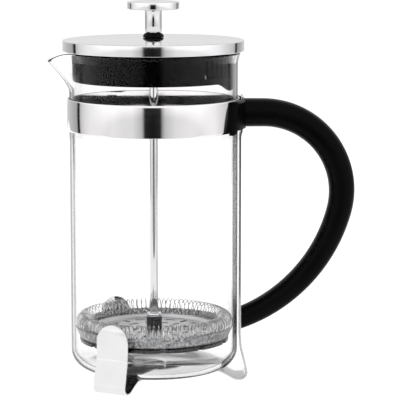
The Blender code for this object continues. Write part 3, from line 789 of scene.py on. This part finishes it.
def dome(radius):
    return LID_EDGE_Z + LID_DOME * (1 - (radius / LID_R) ** 2)


def make_lid():
    radii = [BUSH_HOLE_R + (LID_R - 0.4 * MM - BUSH_HOLE_R) * i / 16 for i in range(17)]
    outer = [(r, dome(r)) for r in radii]
    outer += [(LID_R, LID_EDGE_Z - 0.3 * MM), (LID_R, LID_LOW)]
    inner_r = LID_R - LID_SHEET
    inner = [(inner_r, LID_LOW), (inner_r, LID_EDGE_Z - LID_SHEET - 0.2 * MM)]
    inner += [(r - 0.9 * MM if r > 50 * MM else r, dome(r) - LID_SHEET) for r in reversed(radii)]
    bm = revolve(fillet(outer + inner, 0.45 * MM, 4), 220)
    finish_mesh("lid_top", bm, LID_STEEL, "lid", ["lid_cover"], 40)


def tongue(angle):
    """How much of the tongue's full drop the liner's lower edge has at an angle."""
    off = abs((angle + pi) % (2 * pi) - pi)
    share = min(1.0, max(0.0, (TONGUE_HALF_ANGLE - off) / TONGUE_EASE))
    return share * share * (3 - 2 * share)


def make_liner():
    under = dome(0) - LID_SHEET - GAP - LID_DOME
    inner = LINER_R - LINER_WALL
    outer = [(BUSH_HOLE_R, under + LID_DOME), (30 * MM, under + 0.7 * MM), (50 * MM, under)]
    outer += [(LINER_FLANGE_R, under - 0.9 * MM), (LINER_FLANGE_R, LINER_FLANGE_LOW)]
    outer += [(LINER_R + 0.1 * MM, LINER_FLANGE_LOW), (LINER_R, LINER_FLANGE_LOW - 1 * MM)]
    outer += [(LINER_R, TONGUE_START + 2 * MM), (LINER_R, TONGUE_START - 2 * MM)]
    outer += [(LINER_R, LINER_LOW)]
    low = [(inner, LINER_LOW), (inner, TONGUE_START - 2 * MM), (inner, TONGUE_START + 2 * MM)]
    low += [(inner, under - LINER_ROOF)]
    roof_low = [(30 * MM, under - LINER_ROOF), (BUSH_HOLE_R, under - LINER_ROOF)]
    profile = fillet(outer + low + roof_low, 1.0 * MM, 4)
    rings = []
    for r, z in profile:
        drop = TONGUE_DROP * min(1.0, max(0.0, (TONGUE_START + 1 * MM - z) / (4 * MM)))
        rings.append([(r * cos(a), r * sin(a), z - drop * tongue(a)) for a in round_angles()])
    liner = finish_mesh("lid_liner_ring", loft(rings, closed_rows=True), LINER_BLACK, None)
    low, high = (LINER_R - 4 * MM, -SLOT_HALF, SLOT_LOW), (LINER_R + 4 * MM, SLOT_HALF, SLOT_TOP)
    # The slot walls take the painted shade material from the tool.
    tool = box_tool(low, high, SLOT_TURNS, SLOT_SHADE_BLACK)
    boolean(liner, tool, "DIFFERENCE", use_tool_material=True)
    smooth_by_angle(liner)
    settle(liner, "lid", ["lid_liner"])


def make_bush():
    collar = BUSH_HOLE_R - GAP
    bore = ROD_R + GAP
    profile = [(bore, BUSH_TOP), (4.0 * MM, BUSH_TOP), (5.3 * MM, BUSH_TOP - 0.8 * MM)]
    profile += [(5.9 * MM, BUSH_TOP - 1.7 * MM), (BUSH_R, dome(0) + 0.1 * MM)]
    profile += [(collar, dome(0) + 0.1 * MM), (collar, BUSH_LOW), (bore, BUSH_LOW)]
    bm = revolve(fillet(profile, 0.5 * MM, 4), 72)
    finish_mesh("rod_bush", bm, LINER_BLACK, "bush", ["lid_bush"])


# ---------------------------------------------------------------- plunger

def make_plunger():
    bore = ROD_R + GAP
    rod = [(0, ROD_TOP), (ROD_R, ROD_TOP), (ROD_R, ROD_LOW), (0, ROD_LOW)]
    bm = revolve(fillet(rod, 0.5 * MM, 3, closed=False), 64, False)
    finish_mesh("rod", bm, ROD_STEEL, "plunger", ["plunger_rod"])
    stem = [(bore, STEM_TOP), (STEM_R, STEM_TOP), (STEM_R, STEM_LOW), (bore, STEM_LOW)]
    bm = revolve(fillet(stem, 0.3 * MM), 72)
    finish_mesh("stem_sleeve", bm, ROD_STEEL, "plunger", ["knob_stem"])
    knob = [(0, KNOB_TOP), (KNOB_R, KNOB_TOP), (KNOB_R, KNOB_LOW), (bore, KNOB_LOW)]
    knob += [(bore, KNOB_LOW + KNOB_SOCKET), (0, KNOB_LOW + KNOB_SOCKET)]
    bm = revolve(fillet(knob, 0.6 * MM, 4, closed=False), 120, False)
    finish_mesh("knob_disc", bm, LID_STEEL, "plunger", ["knob"])


# ---------------------------------------------------------------- filter

def make_spring():
    curve = bpy.data.curves.new("edge_spring", "CURVE")
    curve.dimensions = "3D"
    curve.bevel_depth = WIRE_R
    curve.bevel_resolution = 2
    spline = curve.splines.new("POLY")
    count = COIL_TURNS * COIL_TURN_STEPS
    spline.points.add(count - 1)
    for i in range(count):
        around = 2 * pi * i / count
        turn = 2 * pi * i / COIL_TURN_STEPS
        r = COIL_RING_R + COIL_R * cos(turn)
        z = COIL_Z + COIL_R * sin(turn)
        spline.points[i].co = (r * cos(around), r * sin(around), z, 1.0)
    spline.use_cyclic_u = True
    curve.materials.append(WIRE_STEEL)
    obj = bpy.data.objects.new("edge_spring", curve)
    bpy.context.scene.collection.objects.link(obj)
    obj.location.x = AXIS_X
    settle(obj, "filter", ["filter_spring"])


def make_plate():
    bore = ROD_R + GAP
    top = PLATE_LOW + PLATE_SHEET
    bead_low = PLATE_RIM_TOP - PLATE_BEAD
    profile = [(bore, top), (PLATE_R - 2.6 * MM, top), (PLATE_R - 1.8 * MM, bead_low)]
    profile += [(PLATE_R - 1.4 * MM, PLATE_RIM_TOP), (PLATE_R, PLATE_RIM_TOP - 0.2 * MM)]
    profile += [(PLATE_R, bead_low), (PLATE_R - 1.2 * MM, PLATE_LOW), (bore, PLATE_LOW)]
    profile = fillet(profile, 0.5 * MM, 3)
    plate = finish_mesh("spiral_plate", revolve(profile, 128), PLATE_STEEL, None)
    bm = bmesh.new()
    across, along = (OPENING_SHORT, OPENING_LONG), (OPENING_LONG, OPENING_SHORT)
    for ring, (radius, count) in enumerate(PLATE_OPENINGS):
        for i in range(count):
            size = across if (i + ring) % 2 == 0 else along
            place = Matrix.Rotation(2 * pi * i / count, 4, "Z")
            place = place @ Matrix.Translation((radius, 0, PLATE_LOW))
            place = place @ Matrix.Diagonal((*size, 4 * MM, 1.0))
            bmesh.ops.create_cube(bm, size=1.0, matrix=place)
    boolean(plate, finish_mesh("tool", bm, PLATE_STEEL, None), "DIFFERENCE")
    smooth_by_angle(plate)
    settle(plate, "filter", ["perforated_plate"])


def make_mesh_screen():
    bore = ROD_R + GAP
    top_z = MESH_LOW + MESH_SHEET
    top = [(bore, top_z), (MESH_FLAT_R, top_z), (MESH_R - MESH_SHEET, MESH_TOP)]
    low = [(MESH_R, MESH_TOP - 0.1 * MM), (MESH_FLAT_R + 0.3 * MM, MESH_LOW), (bore, MESH_LOW)]
    bm = revolve(fillet(top + low, 0.8 * MM, 3), 128)
    finish_mesh("wire_screen", bm, WOVEN, "filter", ["mesh_screen"])


def make_bottom_plate():
    bore = ROD_R + GAP
    profile = [(bore, CROSS_TOP), (CROSS_R, CROSS_TOP), (CROSS_R, CROSS_LOW), (bore, CROSS_LOW)]
    # The cross plate takes the near black steel: painted shade.
    plate = finish_mesh("cross_plate", revolve(fillet(profile, 0.3 * MM), 128), SHADE_DARK_STEEL, None)
    low, high = CROSS_LOW - 2 * MM, CROSS_TOP + 2 * MM
    notch = (CROSS_R - NOTCH_DEPTH, -NOTCH_HALF, low), (CROSS_R + 3 * MM, NOTCH_HALF, high)
    turns = [360 / NOTCH_COUNT * i + 8 for i in range(NOTCH_COUNT)]
    boolean(plate, box_tool(*notch, turns), "DIFFERENCE")
    window = (WINDOW_IN, -WINDOW_HALF, low), (WINDOW_OUT, WINDOW_HALF, high)
    turns = [360 / WINDOW_COUNT * i for i in range(WINDOW_COUNT)]
    boolean(plate, box_tool(*window, turns), "DIFFERENCE")
    smooth_by_angle(plate)
    settle(plate, "filter", ["bottom_plate"])


def make_hub():
    bore = ROD_R + GAP
    spacer = [(bore, SPACER_TOP), (SPACER_R, SPACER_TOP)]
    spacer += [(SPACER_R, SPACER_LOW), (bore, SPACER_LOW)]
    bm = revolve(fillet(spacer, 0.3 * MM), 64)
    # The spacer nut takes the near black steel: painted reflection of dark surroundings.
    finish_mesh("spacer_nut", bm, SHADE_DARK_STEEL, "filter", ["hub_spacer"])
    cap = [(bore, CAP_TOP), (CAP_R, CAP_TOP), (CAP_R, CAP_LOW), (bore, CAP_LOW)]
    bm = revolve(fillet(cap, 0.9 * MM, 5), 64)
    finish_mesh("cap_nut", bm, LID_STEEL, "filter", ["hub_nut"])


def dress_cad():
    """Gives the small CAD pieces that stay visible their procedural metals."""
    dressing = {
        "base_hub": STRIP_STEEL,
        "base_rivet_handle": STRIP_STEEL,
        "base_rivet_front_left": STRIP_STEEL,
        "base_rivet_back_left": STRIP_STEEL,
        "upper_handle_screw": STRIP_STEEL,
        "lower_handle_screw": STRIP_STEEL,
        "bush_nut": STRIP_STEEL,
        "bottom_nut": STRIP_STEEL,
        "screen_washer": STRIP_STEEL,
    }
    for name, mat in dressing.items():
        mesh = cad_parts[name].data
        mesh.materials.clear()
        mesh.materials.append(mat)


# ---------------------------------------------------------------- studio

PAPER_WHITE = 1.05
FLOOR_HALF_WIDE = 0.63
FLOOR_FRONT = -0.26
FLOOR_BACK = 1.2


def make_floor():
    """A pale table top that ends just in front of the object, so steel sides do not mirror it."""
    left, right = -FLOOR_HALF_WIDE, FLOOR_HALF_WIDE
    mesh = bpy.data.meshes.new("floor")
    corners = [(left, FLOOR_FRONT, 0), (right, FLOOR_FRONT, 0)]
    corners += [(right, FLOOR_BACK, 0), (left, FLOOR_BACK, 0)]
    mesh.from_pydata(corners, [], [(0, 1, 2, 3)])
    floor = bpy.data.objects.new("floor", mesh)
    bpy.context.scene.collection.objects.link(floor)
    floor.location = (AXIS_X, 0, -0.2 * MM)
    mat, _, _, shader = new_material("pale_floor", (0.15, 0.15, 0.15), 0.9)
    shader.inputs["Specular IOR Level"].default_value = 0.0
    shader.inputs["Emission Color"].default_value = (1.0, 1.0, 1.0, 1.0)
    shader.inputs["Emission Strength"].default_value = PAPER_WHITE
    mesh.materials.append(mat)


# Brightness of the studio by degrees from the front: to the left below zero, to the right above
STUDIO = (
    (-180, 0.75),
    (-164, 0.7),
    (-157, 0.68),
    (-124, 0.45),
    (-121, 0.3),
    (-119.5, 0.01),
    (-115, 0.01),
    (-113.5, 0.6),
    (-103, 0.85),
    (-85, 1.05),
    (-68, 1.3),
    (-54, 1.38),
    (-40, 1.27),
    (-27, 1.28),
    (-15, 0.85),
    (-12.5, 0.45),
    (-11, 0.03),
    (0, 0.015),
    (10, 0.03),
    (12, 0.45),
    (16, 0.9),
    (30, 1.27),
    (50, 1.38),
    (65, 1.36),
    (85, 1.12),
    (103, 0.83),
    (126, 0.55),
    (127.5, 0.01),
    (131, 0.01),
    (134, 0.35),
    (160, 0.7),
    (167, 0.72),
)
GAP_AZIMUTH = radians(0.3)
WALL_ABOVE = 1.2
DIM_OVERHEAD = -0.12
DIM_BEHIND = -0.32


def clamped(nodes, links, value):
    node = nodes.new("ShaderNodeClamp")
    links.new(value, node.inputs["Value"])
    return node.outputs["Result"]


def wall_light(nodes, links, split):
    """Brightness round the object by direction, evened out above the horizon."""
    front = math_node(nodes, links, "MULTIPLY", split.outputs["Y"], -1.0)
    azimuth = math_node(nodes, links, "ARCTAN2", split.outputs["X"], front)
    azimuth = math_node(nodes, links, "SUBTRACT", azimuth, GAP_AZIMUTH)
    share = math_node(nodes, links, "DIVIDE", azimuth, 2 * pi)
    share = math_node(nodes, links, "ADD", share, 0.5)
    ramp = nodes.new("ShaderNodeValToRGB")
    links.new(share, ramp.inputs["Fac"])
    elements = ramp.color_ramp.elements
    while len(elements) > 1:
        elements.remove(elements[-1])
    elements[0].position = 0.0
    elements[0].color = (STUDIO[0][1],) * 3 + (1.0,)
    for degrees, value in STUDIO[1:]:
        element = elements.new((degrees + 180) / 360)
        element.color = (value, value, value, 1.0)
    above = clamped(nodes, links, math_node(nodes, links, "MULTIPLY", split.outputs["Z"], 12.0))
    walls = nodes.new("ShaderNodeMix")
    walls.data_type = "RGBA"
    links.new(above, walls.inputs["Factor"])
    links.new(ramp.outputs["Color"], walls.inputs["A"])
    walls.inputs["B"].default_value = (WALL_ABOVE, WALL_ABOVE, WALL_ABOVE, 1.0)
    return walls.outputs["Result"]


def ceiling_dimming(nodes, links, split):
    """A little less light from straight above and from behind."""
    overhead = math_node(nodes, links, "SUBTRACT", split.outputs["Z"], 0.45)
    overhead = clamped(nodes, links, math_node(nodes, links, "MULTIPLY", overhead, 3.0))
    overhead = math_node(nodes, links, "MULTIPLY", overhead, DIM_OVERHEAD)
    behind = math_node(nodes, links, "MULTIPLY", split.outputs["Y"], split.outputs["Z"])
    behind = clamped(nodes, links, math_node(nodes, links, "MULTIPLY", behind, 14.0))
    behind = math_node(nodes, links, "MULTIPLY", behind, DIM_BEHIND)
    dimming = math_node(nodes, links, "ADD", behind, overhead)
    return math_node(nodes, links, "ADD", dimming, 1.0)


def seen_unmirrored(nodes, links):
    """One for what is seen directly or straight through glass, and zero for reflections."""
    path = nodes.new("ShaderNodeLightPath")
    unmirrored = math_node(nodes, links, "LESS_THAN", path.outputs["Glossy Depth"], 0.5)
    through = path.outputs["Is Transmission Ray"]
    through = math_node(nodes, links, "MULTIPLY", unmirrored, through)
    return math_node(nodes, links, "ADD", through, path.outputs["Is Camera Ray"])


def make_world():
    """A white studio: wide soft lights beside a dark gap in front, narrow gaps further round."""
    world = bpy.data.worlds.new("studio")
    bpy.context.scene.world = world
    world.use_nodes = True
    nodes, links = world.node_tree.nodes, world.node_tree.links
    background = nodes["Background"]
    place = nodes.new("ShaderNodeTexCoord")
    split = nodes.new("ShaderNodeSeparateXYZ")
    links.new(place.outputs["Generated"], split.inputs["Vector"])
    dimmed = nodes.new("ShaderNodeVectorMath")
    dimmed.operation = "SCALE"
    links.new(wall_light(nodes, links, split), dimmed.inputs[0])
    links.new(ceiling_dimming(nodes, links, split), dimmed.inputs["Scale"])
    mix = nodes.new("ShaderNodeMix")
    mix.data_type = "RGBA"
    links.new(seen_unmirrored(nodes, links), mix.inputs["Factor"])
    links.new(dimmed.outputs["Vector"], mix.inputs["A"])
    mix.inputs["B"].default_value = (PAPER_WHITE, PAPER_WHITE, PAPER_WHITE, 1.0)
    links.new(mix.outputs["Result"], background.inputs["Color"])
    background.inputs["Strength"].default_value = 1.0


CAMERA_LENS = 186.0
CAMERA_X = AXIS_X + 26.7 * MM
CAMERA_DISTANCE = 1.185
CAMERA_HEIGHT = 0.2775
CAMERA_AIM = 0.1044


def make_camera():
    camera_data = bpy.data.cameras.new("camera")
    camera = bpy.data.objects.new("camera", camera_data)
    bpy.context.scene.collection.objects.link(camera)
    camera_data.lens = CAMERA_LENS
    camera_data.sensor_width = 36.0
    camera_data.clip_end = 100.0
    camera.location = (CAMERA_X, -CAMERA_DISTANCE, CAMERA_HEIGHT)
    target = Vector((CAMERA_X, 0.0, CAMERA_AIM))
    camera.rotation_euler = (target - camera.location).to_track_quat("-Z", "Y").to_euler()
    bpy.context.scene.camera = camera


make_beaker()
make_band()
make_strap()
make_leg("left_front_leg", "front_left_leg", 243)
make_leg("left_back_leg", "back_left_leg", 120)
make_handle()
make_lid()
make_liner()
make_bush()
make_plunger()
make_spring()
make_plate()
make_mesh_screen()
make_bottom_plate()
make_hub()
dress_cad()
make_floor()
make_world()
make_camera()
bpy.context.scene.view_settings.view_transform = "Standard"
